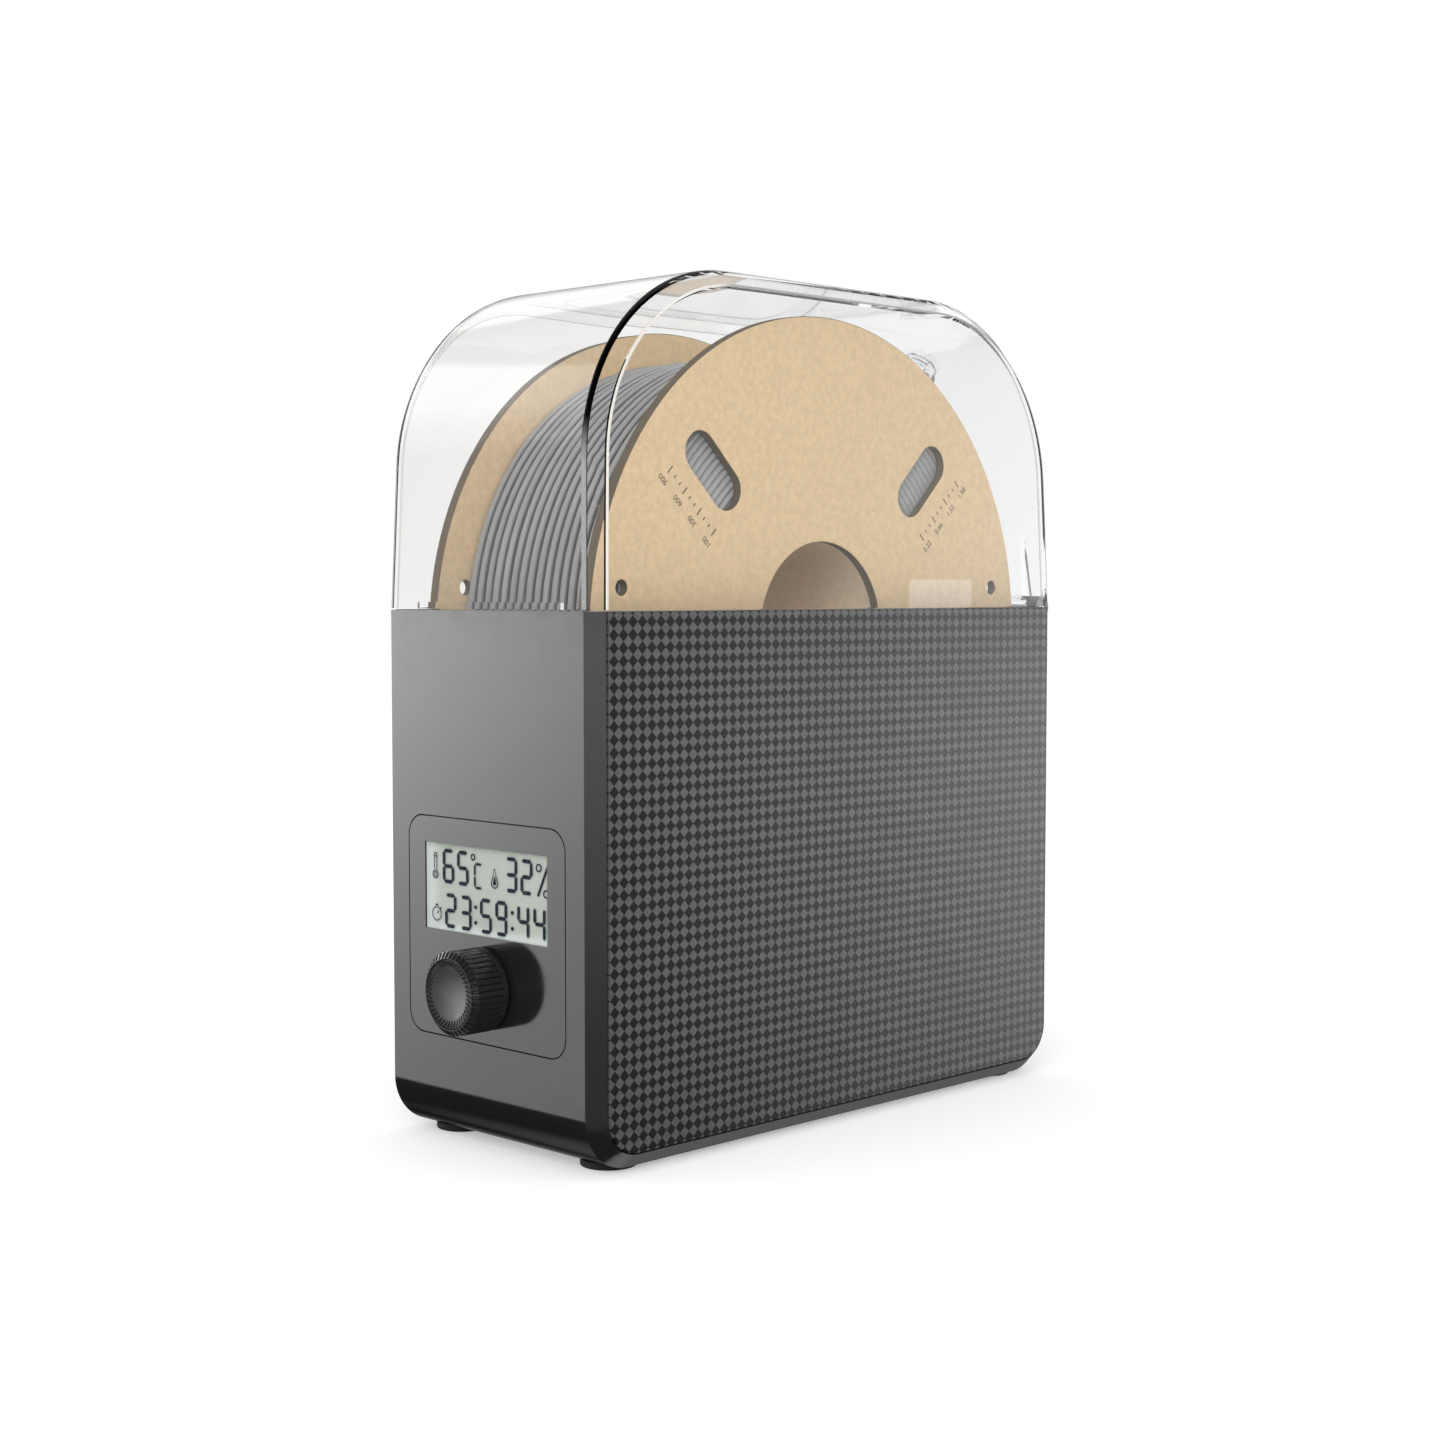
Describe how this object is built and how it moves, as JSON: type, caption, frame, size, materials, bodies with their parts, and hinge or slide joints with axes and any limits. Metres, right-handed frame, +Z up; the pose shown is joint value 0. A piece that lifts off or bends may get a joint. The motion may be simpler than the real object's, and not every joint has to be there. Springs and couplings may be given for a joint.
{
  "type": "filament dryer box",
  "caption": "Narrow upright box that warms and dries a spool of printer filament, with a clear hinged lid, a display and knob on the front, rollers, a heater and a fan.",
  "frame": {"origin": "on the surface that the feet stand on, under the middle of the whole part", "axes": "+Z up, -Y towards the front with the display and knob, +X to the right seen from the front"},
  "size_m": [0.0994, 0.2418, 0.267],
  "materials": {
    "case_grey": "smooth dark grey plastic",
    "panel_grey": "smooth dark grey plastic",
    "tray_black": "glossy black plastic",
    "side_weave": "dark panel with a fine diagonal diamond pattern",
    "lens_clear": "clear display lens",
    "lcd_grey": "pale grey-green liquid crystal display",
    "board_green": "solder-masked board",
    "steel": "bright steel",
    "dark_plastic": "black moulded plastic",
    "knob_black": "glossy black",
    "knob_cap_grey": "satin dished cap",
    "inner_dark": "dark moulded plastic",
    "sensor_white": "white moulded plastic",
    "heater_aluminium": "finned heater",
    "coil_yellow": "taped transformer",
    "pin_brass": "plated inlet pins",
    "seal_rubber": "silicone cord",
    "foot_rubber": "black rubber",
    "lid_clear": "clear plastic",
    "card": "pressed brown card",
    "filament_grey": "silver-grey filament",
    "label_white": "blank paper label",
    "roller_white": "white acetal"
  },
  "bodies": {
    "base": {"base_shell": "case_grey", "bottom_tray": "tray_black", "side_panel_left": "side_weave", "side_panel_right": "side_weave", "control_panel": "panel_grey", "lcd_lens": "lens_clear", "lcd_module": "lcd_grey", "display_board": "board_green", "board_screws": "steel", "encoder_body": "steel", "chamber_floor": "inner_dark", "electronics_cover": "inner_dark", "humidity_sensor": "sensor_white", "heater_duct": "dark_plastic", "heater_core": "heater_aluminium", "fan_frame": "dark_plastic", "fan_screws": "steel", "power_board": "board_green", "transformer": "coil_yellow", "capacitors": "dark_plastic", "power_inlet": "dark_plastic", "inlet_pins": "pin_brass", "tray_screws": "steel", "lid_seal": "seal_rubber", "hinge_pins": "steel", "roller_cradle_left": "inner_dark", "roller_cradle_right": "inner_dark", "roller_shaft_front": "steel", "roller_shaft_rear": "steel", "roller_spacer_front": "dark_plastic", "roller_spacer_rear": "dark_plastic", "foot_front_left": "foot_rubber", "foot_front_right": "foot_rubber", "foot_rear_left": "foot_rubber", "foot_rear_right": "foot_rubber"},
    "lid": {"lid_shell": "lid_clear", "outlet_fitting": "dark_plastic"},
    "spool": {"spool_flange_left": "card", "spool_flange_right": "card", "spool_core": "card", "filament_core": "filament_grey", "filament_winding": "filament_grey", "spool_label": "label_white"},
    "roller_front_left": {"roller_front_left": "roller_white"},
    "roller_front_right": {"roller_front_right": "roller_white"},
    "roller_rear_left": {"roller_rear_left": "roller_white"},
    "roller_rear_right": {"roller_rear_right": "roller_white"},
    "push_switch": {"switch_plunger": "dark_plastic"},
    "knob": {"knob": "knob_black", "knob_cap": "knob_cap_grey", "encoder_shaft": "steel"},
    "fan_rotor": {"fan_rotor": "dark_plastic"}
  },
  "joints": [
    {"name": "lid_hinge", "type": "hinge", "parent": "base", "child": "lid", "pos_m": [0, 0.11695, 0.1645], "axis": [-1, 0, 0], "range_deg": [0, 100]},
    {"name": "spool_spin", "type": "hinge", "parent": "base", "child": "spool", "pos_m": [0, 0.00285, 0.1574], "axis": [1, 0, 0], "continuous": true},
    {"name": "knob_press", "type": "slide", "parent": "base", "child": "push_switch", "axis": [0, 1, 0], "range_m": [0, 0.0007], "stiffness_N_per_m": 1500},
    {"name": "knob_turn", "type": "hinge", "parent": "push_switch", "child": "knob", "pos_m": [0, -0.10675, 0.0508], "axis": [0, -1, 0], "continuous": true},
    {"name": "fan_spin", "type": "hinge", "parent": "base", "child": "fan_rotor", "pos_m": [0, 0.00285, 0.025], "axis": [0, 0, 1], "continuous": true},
    {"name": "roller_front_left_spin", "type": "hinge", "parent": "base", "child": "roller_front_left", "pos_m": [-0.0346, -0.0513, 0.06361], "axis": [1, 0, 0], "continuous": true},
    {"name": "roller_front_right_spin", "type": "hinge", "parent": "base", "child": "roller_front_right", "pos_m": [0.0346, -0.0513, 0.06361], "axis": [1, 0, 0], "continuous": true},
    {"name": "roller_rear_left_spin", "type": "hinge", "parent": "base", "child": "roller_rear_left", "pos_m": [-0.0346, 0.057, 0.06361], "axis": [1, 0, 0], "continuous": true},
    {"name": "roller_rear_right_spin", "type": "hinge", "parent": "base", "child": "roller_rear_right", "pos_m": [0.0346, 0.057, 0.06361], "axis": [1, 0, 0], "continuous": true}
  ],
  "couplings": [
    {"joint": "roller_front_left_spin", "follows": "spool_spin", "ratio": -12.5},
    {"joint": "roller_front_right_spin", "follows": "spool_spin", "ratio": -12.5},
    {"joint": "roller_rear_left_spin", "follows": "spool_spin", "ratio": -12.5},
    {"joint": "roller_rear_right_spin", "follows": "spool_spin", "ratio": -12.5}
  ]
}
